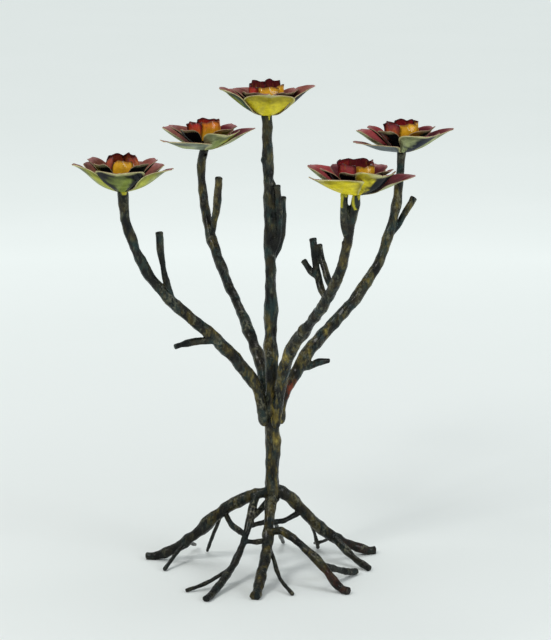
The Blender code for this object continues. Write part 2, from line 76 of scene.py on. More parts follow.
STEM_RADIUS = 0.005       # a stem under a flower, where paint runs down
DRIP_DEPTH, DRIP_TIP = 0.0009, 0.001      # a run's thickness and the fade at its end

PETALS = 5
SHEET = 0.0009
SEAT_GAP = 0.0003         # clearance under and over the outer petals' flat middle
SEAT_RADIUS = 0.009       # flat middle of both petal layers
CUP_FLOOR_RADIUS, CUP_RIM_RADIUS = 0.0202, 0.0207
OUTER_LENGTH = 0.064      # petal length past the flat middle
OUTER_CURL, MIDDLE_CURL = 0.0052, 0.0035  # how far a petal's edges stand over its middle line
LAP = 0.0036              # how far an outer petal's edge passes over or under its neighbour's
CUP_BELLY, CUP_SKEW = 0.0014, 0.0012      # a cup petal's swelling, and one edge out, one in
RUFFLE = 0.0019           # how far a cup's rim waves in and out
DRIFT = 0.0011            # how far hand bending moves a petal off its form
HOLE_RADIUS = 0.0031      # rivet hole through the petal layers
RIVET_HEAD_RADIUS, RIVET_CROWN = 0.0045, 0.00025
ROUNDING = 0.10           # corners between a shape's rows are rounded over this share

# Rows of a petal: share of its length, half width in degrees, shares of its rise and its curl.
OUTER_SHAPE = [(0.0, 36.0, 0.0, 0.0), (0.12, 34.6, 0.06, 0.12), (0.28, 37.0, 0.18, 0.55),
               (0.50, 42.0, 0.40, 0.95), (0.73, 37.5, 0.72, 1.0), (0.90, 19.0, 0.94, 0.45),
               (1.0, 3.5, 1.0, 0.0)]
MIDDLE_SHAPE = [(0.0, 36.0, 0.0, 0.0), (0.30, 34.8, 0.31, 0.40), (0.60, 34.6, 0.61, 0.90),
                (0.85, 27.0, 0.88, 0.80), (1.0, 12.0, 1.0, 0.20)]
# Rows of a cup petal: share of its height, half width in degrees.
CUP_SHAPE = [(0.0, 36.0), (0.35, 37.5), (0.70, 40.5), (0.92, 40.5), (1.0, 37.0)]
ROWS, COLUMNS = 26, 20    # grid of one painted petal, along and across

# ---- enamel colours -----------------------------------------------------------
INK = (0.006, 0.007, 0.009)
BOTTLE = (0.012, 0.034, 0.022)
NAVY = (0.010, 0.015, 0.030)
SLATE = (0.12, 0.145, 0.155)
PALE = (0.36, 0.40, 0.20)
SILVER_GREEN = (0.25, 0.29, 0.22)
LEAF = (0.21, 0.26, 0.060)
LIME = (0.44, 0.46, 0.070)
YELLOW = (0.74, 0.62, 0.035)
CREAM = (0.62, 0.60, 0.30)
UMBER = (0.145, 0.048, 0.030)
MAROON = (0.115, 0.016, 0.022)
MAUVE = (0.23, 0.075, 0.058)
ROSE = (0.29, 0.045, 0.050)
BLUSH = (0.33, 0.17, 0.17)
RED = (0.42, 0.030, 0.020)
BRICK = (0.32, 0.055, 0.020)
MAGENTA = (0.30, 0.016, 0.028)
ORANGE = (0.70, 0.20, 0.016)
AMBER = (0.80, 0.42, 0.022)

# ---- ironwork colours ---------------------------------------------------------
LACQUER_BROWN = (0.028, 0.024, 0.015)
LACQUER_TEAL = (0.014, 0.032, 0.031)
LACQUER_BLACK = (0.0035, 0.0040, 0.0038)
LACQUER_GREY = (0.085, 0.090, 0.060)
OCHRE = (0.13, 0.095, 0.018)
GOLD = (0.34, 0.27, 0.060)
RUST = (0.18, 0.030, 0.010)
# painted shade for the dents, and the darker colour of the roots and twig tops
SHADE_AND_DARK = (0.0030, 0.0035, 0.0032)
# wear and a painted highlight on the lumps
WEAR_AND_HIGHLIGHT = (0.15, 0.145, 0.095)
RUN_YELLOW = (0.50, 0.46, 0.03)

# ---- flowers ------------------------------------------------------------------
# Petals run anticlockwise seen from above, from the one on the heading. Angles are degrees.
# bends: how steeply an outer petal rises. turns: how far its tip swings anticlockwise.
# laps: 1 where it passes under the next petal, -1 where over.
# middle: the middle petals' length past the flat seat, bend and turn.
# cup: height of the rim over the branch's end. cup_petals: each one's share of that height,
# and how many millimetres its top leans in.
# shoulders: outer petals hammered at one edge, as (petal, side): (times as wide, metres
# higher), with side 1 for the anticlockwise edge. middle_shoulders: the middle petals' own.
# outer_paint, middle_paint: outside at the clockwise edge, in the belly and at the
# anticlockwise edge, then inside. cup_paint: below and above.
FLOWERS = {
    "left": dict(
        heading=0, bends=(28, 28, 25, 26, 33), turns=(0, 0, 0, 0, 0), laps=(-1, 1, -1, -1, 1),
        middle=(0.050, 46, 0), cup=0.045,
        cup_petals=[(0.84, 2), (0.93, 6), (1.02, 4), (1.02, 4), (0.93, 6)],
        shoulders={(0, 1): (1.05, -0.0035), (0, -1): (1.05, -0.0025)},
        middle_shoulders={(0, -1): (0.60, -0.005), (4, 1): (0.60, -0.005)},
        outer_paint=[(INK, LEAF, INK, BOTTLE), (LIME, PALE, SILVER_GREEN, MAROON),
                     (LEAF, BOTTLE, LEAF, MAUVE), (LEAF, PALE, LEAF, UMBER),
                     (SILVER_GREEN, PALE, LIME, UMBER)],
        middle_paint=[(INK, INK, BOTTLE, MAUVE), (INK, INK, INK, MAUVE), (INK, INK, INK, UMBER),
                      (INK, INK, INK, UMBER), (LIME, INK, INK, UMBER)],
        cup_paint=[(AMBER, AMBER), (AMBER, BRICK), (ORANGE, BRICK), (BRICK, BRICK),
                   (BRICK, BRICK)]),
    "rear": dict(
        heading=-47, bends=(14, 24, 24, 18, 24), turns=(1, 6, 3, 0, -11), laps=(1, -1, 1, -1, -1),
        middle=(0.046, 38, -17), cup=0.040,
        cup_petals=[(0.92, 0), (1.0, 0), (1.04, 1), (1.0, 0), (0.86, -1)],
        shoulders={(0, 1): (1.50, 0.002), (1, -1): (0.70, 0.0), (2, -1): (1.20, 0.0)},
        middle_shoulders={(0, 1): (0.65, -0.003), (1, -1): (0.90, -0.002)},
        outer_paint=[(SILVER_GREEN, PALE, SILVER_GREEN, MAUVE), (PALE, LEAF, LIME, MAROON),
                     (PALE, SILVER_GREEN, PALE, MAROON), (PALE, LEAF, PALE, MAUVE),
                     (PALE, LEAF, PALE, MAUVE)],
        middle_paint=[(INK, INK, INK, MAUVE), (AMBER, LIME, LIME, MAROON), (LEAF, INK, INK, MAROON),
                      (INK, INK, INK, MAUVE), (INK, INK, INK, MAUVE)],
        cup_paint=[(ORANGE, RED), (AMBER, ORANGE), (AMBER, ORANGE), (ORANGE, RED), (ROSE, BRICK)]),
    "top": dict(
        heading=6, bends=(30, 35, 24, 24, 33), turns=(0, 0, 0, 0, 0), laps=(1, 1, 1, -1, -1),
        middle=(0.044, 42, 0), cup=0.042,
        cup_petals=[(0.84, 1), (0.90, 0), (1.06, 1), (1.02, 0), (0.84, 0)],
        shoulders={(0, 1): (1.14, -0.001), (0, -1): (1.14, 0.0), (1, -1): (0.92, -0.014),
                   (1, 1): (1.05, 0.007), (4, 1): (0.92, -0.014), (4, -1): (1.05, 0.005)},
        middle_shoulders={},
        outer_paint=[(YELLOW, YELLOW, YELLOW, MAROON), (INK, NAVY, SILVER_GREEN, MAUVE),
                     (LEAF, BOTTLE, PALE, MAUVE), (PALE, BOTTLE, LEAF, MAUVE),
                     (INK, LEAF, BOTTLE, MAUVE)],
        middle_paint=[(INK, INK, INK, MAUVE), (INK, BOTTLE, INK, MAUVE), (INK, INK, INK, MAROON),
                      (INK, INK, INK, MAUVE), (INK, BOTTLE, INK, ROSE)],
        cup_paint=[(AMBER, AMBER), (AMBER, AMBER), (MAROON, MAROON), (MAGENTA, MAROON),
                   (RED, RED)]),
    "front": dict(
        heading=-44, bends=(22, 28, 20, 20, 28), turns=(-7, -1, -7, 0, -6), laps=(1, -1, 1, -1, -1),
        middle=(0.046, 40, 0), cup=0.041,
        cup_petals=[(0.93, -1), (0.84, 0), (1.0, 1), (1.03, 0), (1.04, -1)],
        shoulders={(0, 1): (1.45, 0.006), (1, -1): (0.80, 0.004), (2, -1): (1.15, 0.0)},
        middle_shoulders={(0, 1): (0.85, -0.003)},
        outer_paint=[(LEAF, YELLOW, YELLOW, MAROON), (YELLOW, INK, INK, MAROON),
                     (PALE, SILVER_GREEN, PALE, MAROON), (PALE, LEAF, YELLOW, MAROON),
                     (YELLOW, LEAF, PALE, ROSE)],
        middle_paint=[(INK, INK, INK, ROSE), (INK, INK, INK, MAROON), (INK, INK, INK, MAROON),
                      (INK, INK, INK, MAROON), (INK, MAROON, INK, RED)],
        cup_paint=[(RED, ROSE), (AMBER, AMBER), (ORANGE, BRICK), (MAGENTA, MAROON),
                   (MAGENTA, MAGENTA)]),
    "right": dict(
        heading=-50, bends=(14, 24, 27, 18, 21), turns=(-9, 7, -8, 0, -8), laps=(1, -1, 1, -1, -1),
        middle=(0.046, 39, -16), cup=0.040,
        cup_petals=[(0.95, -1), (0.95, 1), (1.03, 0), (1.05, 1), (0.94, -1)],
        shoulders={(0, 1): (1.20, 0.001), (1, -1): (0.85, 0.0), (2, -1): (1.20, 0.0)},
        middle_shoulders={(0, 1): (0.70, -0.003)},
        outer_paint=[(SLATE, SLATE, SLATE, MAUVE), (PALE, NAVY, NAVY, MAROON),
                     (PALE, SILVER_GREEN, PALE, MAROON), (PALE, LEAF, PALE, MAUVE),
                     (SLATE, PALE, PALE, ROSE)],
        middle_paint=[(MAUVE, INK, INK, MAUVE), (AMBER, BOTTLE, INK, MAROON), (LEAF, INK, INK, MAROON),
                      (INK, INK, INK, MAUVE), (INK, MAROON, INK, ROSE)],
        cup_paint=[(ORANGE, ROSE), (AMBER, AMBER), (AMBER, AMBER), (MAGENTA, MAGENTA),
                   (ROSE, ROSE)]),
}

# ---- marks on the ironwork ----------------------------------------------------
# Knots: bar, bearing, height, how far out they stand, half their width.
KNOTS = [("trunk", -80, 0.531, 0.0022, 0.0040), ("trunk", 85, 0.501, 0.0026, 0.0050),
         ("trunk", 60, 0.514, 0.0014, 0.0060), ("branch_front", -60, 0.452, 0.0016, 0.0050),
         ("trunk", -100, 0.140, 0.0012, 0.0060), ("trunk", 70, 0.170, 0.0012, 0.0070)]
# Ochre rubbed over the dark lacquer, and rust: bar, lowest and highest height, strength.
OCHRE_MARKS = [
    ("trunk", 0.10, 0.33, 0.75), ("trunk", 0.42, 0.58, 0.20),
    ("branch_front", 0.19, 0.30, 1.0), ("branch_front", 0.33, 0.48, 0.25),
    ("branch_right", 0.21, 0.32, 0.6), ("branch_right", 0.36, 0.50, 0.45),
    ("branch_left", 0.22, 0.36, 0.45), ("branch_left", 0.44, 0.48, 0.3),
    ("branch_rear", 0.40, 0.50, 0.45), ("twig_rear", 0.40, 0.50, 0.5),
    ("twig_right_tall", 0.42, 0.48, 0.4), ("twig_left_up", 0.40, 0.45, 0.8),
    ("root_front", 0.0, 0.024, 0.9), ("root_front", 0.05, 0.10, 0.8),
    ("root_front_right", 0.0, 0.07, 0.6), ("root_right", 0.04, 0.10, 0.5),
    ("root_left", 0.06, 0.11, 0.5)]
RUST_MARKS = [("branch_right", 0.224, 0.240, 1.0), ("root_front_right", 0.008, 0.022, 0.35),
              ("root_right", 0.0, 0.02, 0.2)]
OCHRE_EVERYWHERE = 0.10   # a trace of ochre on every bar
# Yellow paint that ran down from a flower: bar, bearing, length, half width.
DRIPS = [("branch_front", -62, 0.024, 0.0020), ("branch_front", 35, 0.006, 0.0024),
         ("twig_front_prop", -55, 0.017, 0.0034), ("twig_front_prop", 20, 0.004, 0.0030),
         ("branch_left", 20, 0.004, 0.0030), ("trunk", 35, 0.006, 0.0016)]

# ---- studio -------------------------------------------------------------------
FLOOR_SIZE = 80.0
GLOW = 0.43               # light given off by the floor far from the tree
GLOW_START, GLOW_FULL = 0.40, 2.4         # it grows between these distances
LENS_MM, SENSOR_MM = 138.2, 36.0
CAMERA_DISTANCE, CAMERA_HEIGHT = 3.066, 0.937
CAMERA_TILT = 11.26       # degrees below level
CAMERA_OFFSET = 0.0045    # the camera stands this far right of the trunk


# ---- small tools --------------------------------------------------------------
def mix(a, b, share):
    """The colour at a share of the way from a to b."""
    return tuple(x + (y - x) * share for x, y in zip(a, b))


def ease(low, high, x):
    """0 at low, 1 at high, and smooth between."""
    s = min(1.0, max(0.0, (x - low) / (high - low)))
    return s * s * (3 - 2 * s)


def wander(*place):
    """Smooth noise about 0, between -1 and 1, at a place of one to three numbers."""
    return noise.noise(Vector((*place, 0.37, 0.71)[:3]))


def add_piece(name, mesh, paint, replaced, smooth_angle=50):
    """Adds a finished piece that rides on the frame and stands for its CAD nodes."""
    mesh.shade_smooth()
    mesh.set_sharp_from_angle(angle=math.radians(smooth_angle))
    mesh.materials.clear()
    mesh.materials.append(paint)
    piece = bpy.data.objects.new(name, mesh)
    bpy.context.scene.collection.objects.link(piece)
    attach(piece, "root")
    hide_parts(*replaced)


def foot_of(node):
    """The middle of a node's lowest points."""
    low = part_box(node)[0].z
    found = [v.co for v in frame["nodes"][node].data.vertices if v.co.z < low + FOOT_SLICE]
    return sum(found, Vector()) / len(found)


def top_of(node):
    """The middle of a bar's highest points, at its top's height."""
    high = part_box(node)[1].z
    found = [v.co for v in frame["nodes"][node].data.vertices if v.co.z > high - TOP_SLICE]
    return Vector((*(sum(found, Vector()) / len(found)).xy, high))


# ---- materials ----------------------------------------------------------------
class Graph:
    """A material's nodes, built by short calls."""

    def __init__(self, name):
        self.material = bpy.data.materials.new(name)
        self.material.use_nodes = True
        self.tree = self.material.node_tree
        self.shader = self.tree.nodes["Principled BSDF"]
        self.place = self.tree.nodes.new("ShaderNodeTexCoord").outputs["Object"]

    def link(self, source, target):
        self.tree.links.new(source, target)

    def attribute(self, name, output):
        """A value or a colour that the mesh carries."""
        node = self.tree.nodes.new("ShaderNodeAttribute")
        node.attribute_name = name
        return node.outputs[output]

    def stretched(self, scale):
        """Coordinates that draw noise out along an axis whose scale is below 1."""
        node = self.tree.nodes.new("ShaderNodeMapping")
        node.inputs["Scale"].default_value = scale
        self.link(self.place, node.inputs["Vector"])
        return node.outputs["Vector"]

    def noise(self, scale, detail=3.0, roughness=0.55, vector=None):
        """Noise with this many lumps to the metre."""
        node = self.tree.nodes.new("ShaderNodeTexNoise")
        node.inputs["Scale"].default_value = scale
        node.inputs["Detail"].default_value = detail
        node.inputs["Roughness"].default_value = roughness
        self.link(vector or self.place, node.inputs["Vector"])
        return node.outputs["Fac"]

    def range(self, value, from_low, from_high, to_low=0.0, to_high=1.0):
        """A value mapped from one range to another, and held inside it."""
        node = self.tree.nodes.new("ShaderNodeMapRange")
        for name, number in zip(("From Min", "From Max", "To Min", "To Max"),
                                (from_low, from_high, to_low, to_high)):
            node.inputs[name].default_value = number
        self.link(value, node.inputs["Value"])
        return node.outputs["Result"]

    def math(self, operation, a, b):
        """One step of arithmetic, on sockets or numbers."""
        node = self.tree.nodes.new("ShaderNodeMath")
        node.operation = operation
        for socket, value in zip(node.inputs, (a, b)):
            if isinstance(value, (int, float)):
                socket.default_value = value
            else:
                self.link(value, socket)
        return node.outputs["Value"]

    def mix(self, share, a, b, blend="MIX"):
        """A colour between a and b, by a share that varies over the surface."""
        node = self.tree.nodes.new("ShaderNodeMix")
        node.data_type = "RGBA"
        node.blend_type = blend
        sockets = [s for s in node.inputs if s.type == "RGBA"]
        for socket, colour in zip(sockets, (a, b)):
            if isinstance(colour, tuple):
                socket.default_value = (*colour, 1.0)
            else:
                self.link(colour, socket)
        self.link(share, node.inputs["Factor"])
        return next(s for s in node.outputs if s.type == "RGBA")

    def bump(self, height, distance, strength, under=None):
        """A normal with this relief on it, laid over another one if given."""
        node = self.tree.nodes.new("ShaderNodeBump")
        node.inputs["Strength"].default_value = strength
        node.inputs["Distance"].default_value = distance
        self.link(height, node.inputs["Height"])
        if under:
            self.link(under, node.inputs["Normal"])
        return node.outputs["Normal"]

    def finish(self, colour, roughness, normal, **constants):
        """The finished material. A constant is named for its socket, with _ for a space."""
        self.link(colour, self.shader.inputs["Base Color"])
        self.link(roughness, self.shader.inputs["Roughness"])
        self.link(normal, self.shader.inputs["Normal"])
        for name, value in constants.items():
            self.shader.inputs[name.replace("_", " ")].default_value = value
        return self.material


def iron_material():
    """Dark lacquer on hammered iron: brown, teal and black patches, with ochre, gold and rust
    rubbed on where the mesh is marked, painted shade in the dents, darker roots and twig
    tops, wear and a painted highlight on the lumps, and runs of paint."""
    g = Graph("bark_iron")
    tall = g.stretched((1.0, 1.0, 0.40))
    colour = g.mix(g.range(g.noise(45, 3, 0.6), 0.40, 0.60), LACQUER_BROWN, LACQUER_TEAL)
    black = g.range(g.noise(125, 4, 0.6, tall), 0.46, 0.56, 0.0, 0.9)
    colour = g.mix(black, colour, LACQUER_BLACK)
    colour = g.mix(g.range(g.noise(170, 4, 0.65, tall), 0.57, 0.68), colour, LACQUER_GREY)
    patches = g.range(g.noise(80, 5, 0.62, tall), 0.48, 0.68)
    ochre = g.math("MULTIPLY", g.attribute("ochre", "Fac"), patches)
    colour = g.mix(ochre, colour, OCHRE)
    gold = g.math("MULTIPLY", ochre, g.range(g.noise(240, 3, 0.6, tall), 0.50, 0.66))
    colour = g.mix(gold, colour, GOLD)
    rust = g.math("MULTIPLY", g.attribute("rust", "Fac"), g.range(g.noise(120, 4), 0.44, 0.60))
    colour = g.mix(rust, colour, RUST)
    # painted shade in the dents, and darker roots and twig tops
    colour = g.mix(g.attribute("dent_shade_and_dark", "Fac"), colour, SHADE_AND_DARK)
    # wear and a painted highlight on the tops of the lumps
    rubbed = g.range(g.noise(210, 4, 0.65), 0.48, 0.60)
    wear_and_highlight_share = g.math("MULTIPLY", g.attribute("lump_wear_and_highlight", "Fac"), rubbed)
    colour = g.mix(wear_and_highlight_share, colour, WEAR_AND_HIGHLIGHT)
    colour = g.mix(g.attribute("drip", "Fac"), colour, RUN_YELLOW)
    roughness = g.range(g.noise(190, 3), 0.35, 0.65, 0.17, 0.36)
    normal = g.bump(g.noise(260, 5, 0.6, tall), 0.0028, 0.9)
    normal = g.bump(g.noise(1300, 3), 0.00025, 0.7, under=normal)
    return g.finish(colour, roughness, normal, Metallic=0.0, Specular_IOR_Level=0.05,
                    Coat_Weight=0.26, Coat_Roughness=0.22)


def enamel_material(name, streak_scale, streaks, coat):
    """Hand-painted enamel over the mesh's own paint colours: brush streaks, thin spots and
    small dark chips, with a glossy coat that is not quite even."""
    g = Graph(name)
    base = g.attribute("paint", "Color")
    brushed = g.noise(streak_scale, 4, 0.6, g.stretched((1.0, 1.0, 0.35)))
    colour = g.mix(g.range(brushed, 0.35, 0.70, 0.0, streaks), base, (0.75, 0.68, 0.45), "OVERLAY")
    shade = g.range(g.noise(95, 4), 0.42, 0.66, 0.0, 0.30)
    colour = g.mix(shade, colour, (0.10, 0.07, 0.05), "MULTIPLY")
    chips = g.range(g.noise(520, 2, 0.5), 0.70, 0.74, 0.0, 0.7)
    colour = g.mix(chips, colour, (0.03, 0.025, 0.02))
    roughness = g.range(g.noise(140, 3), 0.35, 0.70, 0.20, 0.36)
    normal = g.bump(g.noise(150, 3), 0.0016, 0.7)
    normal = g.bump(g.noise(900, 2), 0.00012, 0.6, under=normal)
    return g.finish(colour, roughness, normal, Metallic=0.0, Specular_IOR_Level=0.0,
                    Coat_Weight=coat, Coat_Roughness=0.12)


def steel_material():
    """A rivet head's dull steel, with fine scratches and a brown bloom."""
    g = Graph("rivet_steel")
    colour = g.mix(g.range(g.noise(420, 4), 0.40, 0.62), (0.36, 0.34, 0.31), (0.15, 0.105, 0.07))
    roughness = g.range(g.noise(600, 3), 0.35, 0.65, 0.32, 0.58)
    normal = g.bump(g.noise(1100, 3, 0.6, g.stretched((1.0, 0.15, 1.0))), 0.0002, 0.6)
    return g.finish(colour, roughness, normal, Metallic=0.9)


# ---- ironwork -----------------------------------------------------------------
def bar_points(names):
    """Every bar's points, with the bar's name and mean radius, in a tree to search."""
    tree, facts = KDTree(sum(len(frame["nodes"][n].data.vertices) for n in names)), []
    for name in names:
        mesh = frame["nodes"][name].data
        bm = bmesh.new()
        bm.from_mesh(mesh)
        radius = 2 * abs(bm.calc_volume()) / sum(face.calc_area() for face in bm.faces)
        bm.free()
        for vert in mesh.vertices:
            tree.insert(vert.co, len(facts))
            facts.append((name, radius))
    tree.balance()
    return tree, facts


def add_weld(bm, branch):
    """A round weld on a branch's foot, a little towards the trunk."""
    foot = foot_of(branch)
    inwards = (foot_of("trunk") - foot).xy.normalized().to_3d()
    place = Matrix.Translation(foot + WELD_INWARDS * inwards + Vector((0, 0, WELD_RISE)))
    bmesh.ops.create_icosphere(bm, subdivisions=3, radius=WELD_RADIUS,
                               matrix=place @ Matrix.Diagonal((1.0, 1.0, WELD_TALL, 1.0)))


def welded(names):
    """The bars as one closed mesh, swollen a little so that each weld closes and fills, with
    a round weld where each branch starts."""
    whole = bmesh.new()
    for name in names:
        if name.startswith("branch"):
            add_weld(whole, name)
    for name in names:
        bar = bmesh.new()
        bar.from_mesh(frame["nodes"][name].data)
        bmesh.ops.remove_doubles(bar, verts=bar.verts, dist=1e-6)
        bmesh.ops.recalc_face_normals(bar, faces=bar.faces)
        bar.normal_update()
        for vert in bar.verts:
            vert.co += SWELL * vert.normal
        swollen = bpy.data.meshes.new("swollen")
        bar.to_mesh(swollen)
        bar.free()
        whole.from_mesh(swollen)
        bpy.data.meshes.remove(swollen)
    mesh = bpy.data.meshes.new("bars")
    whole.to_mesh(mesh)
    whole.free()
    draft = bpy.data.objects.new("bars", mesh)
    bpy.context.scene.collection.objects.link(draft)
    remesh = draft.modifiers.new("weld", "REMESH")
    remesh.mode = "VOXEL"
    remesh.voxel_size = VOXEL
    soften = draft.modifiers.new("soften", "SMOOTH")
    soften.factor, soften.iterations = 0.5, 5
    graph = bpy.context.evaluated_depsgraph_get()
    made = bpy.data.meshes.new_from_object(draft.evaluated_get(graph))
    bpy.data.objects.remove(draft)
    return made


def bark_height(place, radius):
    """How far the surface of a bar stands out from its round form: soft lumps and dents."""
    x, y, z = place
    lump = wander(x / LUMP_SIZE, y / LUMP_SIZE, LUMP_SLIM * z / LUMP_SIZE)
    cell = Vector((x / DENT_SIZE, y / DENT_SIZE, DENT_SLIM * z / DENT_SIZE))
    near = noise.voronoi(cell)[0][0]
    return radius * (LUMP * LUMP_GAIN * lump + DENT * (near - DENT_MIDDLE))


def band(marks, name, height):
    """The strongest of the marks on this bar at this height, each fading at both its ends."""
    return max([strength * ease(low - MARK_FADE, low, height)
                * (1 - ease(high, high + MARK_FADE, height))
                for bar, low, high, strength in marks if bar == name] or [0.0])


def knot_height(place, name, axis_of):
    """How far a knot stands out of the bar here."""
    total = 0.0
    for bar, bearing, height, out, width in KNOTS:
        if bar != name or abs(place.z - height) > 3 * width:
            continue
        turn = math.radians(bearing)
        centre = axis_of[bar, height] + KNOT_REACH * Vector((math.sin(turn), -math.cos(turn), 0))
        total += out * math.exp(-((place - centre).length / width) ** 2)
    return total


def axis_points():
    """The middle of each knot's bar at the knot's height."""
    found = {}
    for bar, _, height, _, _ in KNOTS:
        points = [v.co for v in frame["nodes"][bar].data.vertices]
        ring = [point for point in points if abs(point.z - height) < KNOT_SLICE]
        found[bar, height] = Vector((*(sum(ring, Vector()) / len(ring)).xy, height))
    return found


def drip_share(place, name, tops):
    """1 under a run of paint below a flower, 0 elsewhere."""
    share = 0.0
    for bar, bearing, length, width in DRIPS:
        down = tops[name].z - place.z
        if bar != name or down > length + 0.002:
            continue
        out = (place - tops[name]).xy
        offset = math.remainder(math.atan2(out.x, -out.y) - math.radians(bearing), 2 * math.pi)
        across = abs(offset) * STEM_RADIUS
        narrow = width * (1.4 - 0.9 * min(1.0, max(0.0, down) / length))
        inside = 1 - ease(0.6 * narrow, narrow, across)
        share = max(share, inside * (1 - ease(length - DRIP_TIP, length, down)))
    return share


def ironwork():
    """All the bars, roots, links and twigs as one welded piece with bark lumps."""
    names = sorted(row["node"] for row in frame["record"]["subparts"]
                   if row["material_slot"] == "forged_iron")
    tree, facts = bar_points(names)
    axis_of = axis_points()
    tops = {name: top_of(name) for name in names}
    mesh = welded(names)
    marks = {key: [] for key in ("ochre", "rust", "dent_shade_and_dark", "lump_wear_and_highlight", "drip")}
    moved = []
    for vert in mesh.vertices:
        name, radius = facts[tree.find(vert.co)[1]]
        place = vert.co.copy()
        top, is_twig = tops[name].z, name.startswith("twig")
        rise = bark_height(place, radius)
        drip = drip_share(place, name, tops)
        flare = FLARE * ease(top - FLARE_START, top - FLARE_END, place.z) * is_twig
        out = (rise * ease(0.0, FLOOR_EASE, place.z) + knot_height(place, name, axis_of)
               + DRIP_DEPTH * drip + flare)
        place += out * vert.normal
        place.z = max(place.z, 0.0)
        moved.append(place)
        marks["ochre"].append(band(OCHRE_MARKS, name, place.z) + OCHRE_EVERYWHERE)
        marks["rust"].append(band(RUST_MARKS, name, place.z))
        # darker twig tops and roots, and painted shade in the dents
        marks["dent_shade_and_dark"].append(max(DARK_CUT * ease(top - CUT_START, top - CUT_END, place.z) * is_twig,
                                   DARK_ROOT * (1 - ease(ROOT_LOW, ROOT_HIGH, place.z)),
                                   DARK_DENT * ease(DENT_FROM, DENT_TO, rise / radius)))
        # wear and a painted highlight on the lumps
        marks["lump_wear_and_highlight"].append(WEAR_HIGHLIGHT_STRENGTH * ease(LUMP_FROM, LUMP_TO, rise / radius))
        marks["drip"].append(drip)
    mesh.vertices.foreach_set("co", np.array(moved).ravel())
    for key, values in marks.items():
        attribute = mesh.attributes.new(key, "FLOAT", "POINT")
        attribute.data.foreach_set("value", np.array(values, np.float32))
    add_piece("bark_ironwork", mesh, iron_material(), names, smooth_angle=80)


# ---- petals -------------------------------------------------------------------
def rounded(t, shape):
    """A shape's values at a share t of the length, with the corners between its rows rounded."""
    shares, *columns = zip(*shape)
    reach = min(ROUNDING, t, 1 - t)
    around = [t + reach * k / 2 for k in range(-2, 3)]
    return [float(np.mean(np.interp(around, shares, column))) for column in columns]


def bowl_point(t, v, length, bend, curl, shape, lap=0.0):
    """Radius, plan angle and height of a bowl-shaped petal at t along and v across it."""
    half_width, rise, curling = rounded(t, shape)
    passing = lap * min(1.0, t / 0.4, (1 - t) / 0.25) * abs(v) ** 3
    height = length * math.sin(bend) * rise + curl * curling * v * v + passing
    return SEAT_RADIUS + length * math.cos(bend) * t, v * math.radians(half_width), height


def hammered(point, t, v, shoulders, petal):
    """A petal's point moved by its own shoulders: its edge swings out or in, and lifts or
    drops except at the root and the tip."""
    radius, angle, height = point
    wider, higher = shoulders.get((petal, 1 if v > 0 else -1), (1.0, 0.0))
    free = min(1.0, 2.2 * t, 3 * (1 - t))
    return radius, angle * (1 + (wider - 1) * abs(v)), height + higher * v * v * free


def bent_by_hand(point, t, v, seed, swing=0.0):
    """A petal's point moved as uneven bending would: a soft warp, a wave along its edge, and
    a swing of its tip."""
    radius, angle, height = point
    free = min(1.0, 2.2 * t)
    height += DRIFT * free * (1.6 * wander(2.1 * t + seed, 1.3 * v, seed)
                              + 0.9 * t * wander(3.3 * t, seed, 5.1)
                              + 0.5 * v * v * math.sin(9 * t + seed))
    angle *= 1 + 0.055 * t * wander(5 * t, seed, math.copysign(3.0, v))
    angle += swing * t
    return radius + 0.5 * DRIFT * free * wander(seed, 2 * t, 2 * v), angle, height


def painted(edge_paint, inside, cream, t, v, top_side, seed):
    """Colour of an open petal: three patches outside, a dark line along its rim that is painted
    outline and painted shadow where petals overlap, a cream line, and inside painted shade in the
    heart and a paler tip."""
    wobble = 0.35 * wander(4 * t, 2 * v, seed) + 0.20 * wander(11 * t, 7 * v, seed)
    lit = 1 + 0.22 * wander(7 * t, 5 * v, seed + 2)
    if top_side:
        # painted shade in the heart of the bowl, under the next layer of petals
        colour = mix(mix(inside, INK, 0.70), inside, ease(0.20, 0.65, t + 0.4 * wobble))
        colour = mix(colour, BLUSH, 0.75 * ease(0.80, 1.0, t + 0.2 * wobble))
        colour = mix(colour, BLUSH, 0.45 * ease(0.86, 1.0, abs(v)))
    else:
        clockwise, belly, anticlockwise = edge_paint
        across = v + wobble
        side = clockwise if across < 0 else anticlockwise
        colour = mix(belly, side, ease(0.18, 0.55, abs(across)))
        colour = mix(colour, BLUSH, 0.55 * ease(0.88, 1.0, t))
        rim = max(abs(v), 0.5 + 0.5 * t)
        # a dark line inside the rim: painted outline, and painted shadow where one petal lies over the
        # next
        colour = mix(colour, INK, 0.55 * ease(0.78, 0.90, rim + 0.3 * wobble))
        colour = mix(colour, CREAM, cream * ease(0.92, 0.97, rim))
    return tuple(min(1.0, lit * channel) for channel in colour)


def cup_point(t, v, height, closing, seed):
    """A point of a cup petal: nearly upright and swelling, each petal one edge out and one
    edge in like a rosebud, with a ruffled rim."""
    half_width, = rounded(t, CUP_SHAPE)
    crest = (0.97 + 0.04 * math.sin(1.4 * math.pi * v + 2.3 * seed) - 0.06 * v**4
             + 0.03 * wander(2 * v, seed))
    radius = CUP_FLOOR_RADIUS + (CUP_RIM_RADIUS - CUP_FLOOR_RADIUS) * t
    radius += (CUP_BELLY * math.sin(math.pi * t) * (1 - 0.6 * v * v)
               + CUP_SKEW * min(1.0, 3 * t) * v)
    radius += RUFFLE * t**3 * math.sin(1.8 * math.pi * v + 1.7 * seed) - closing * t**3
    return radius, v * math.radians(half_width), height * t * (1 + (crest - 1) * t)


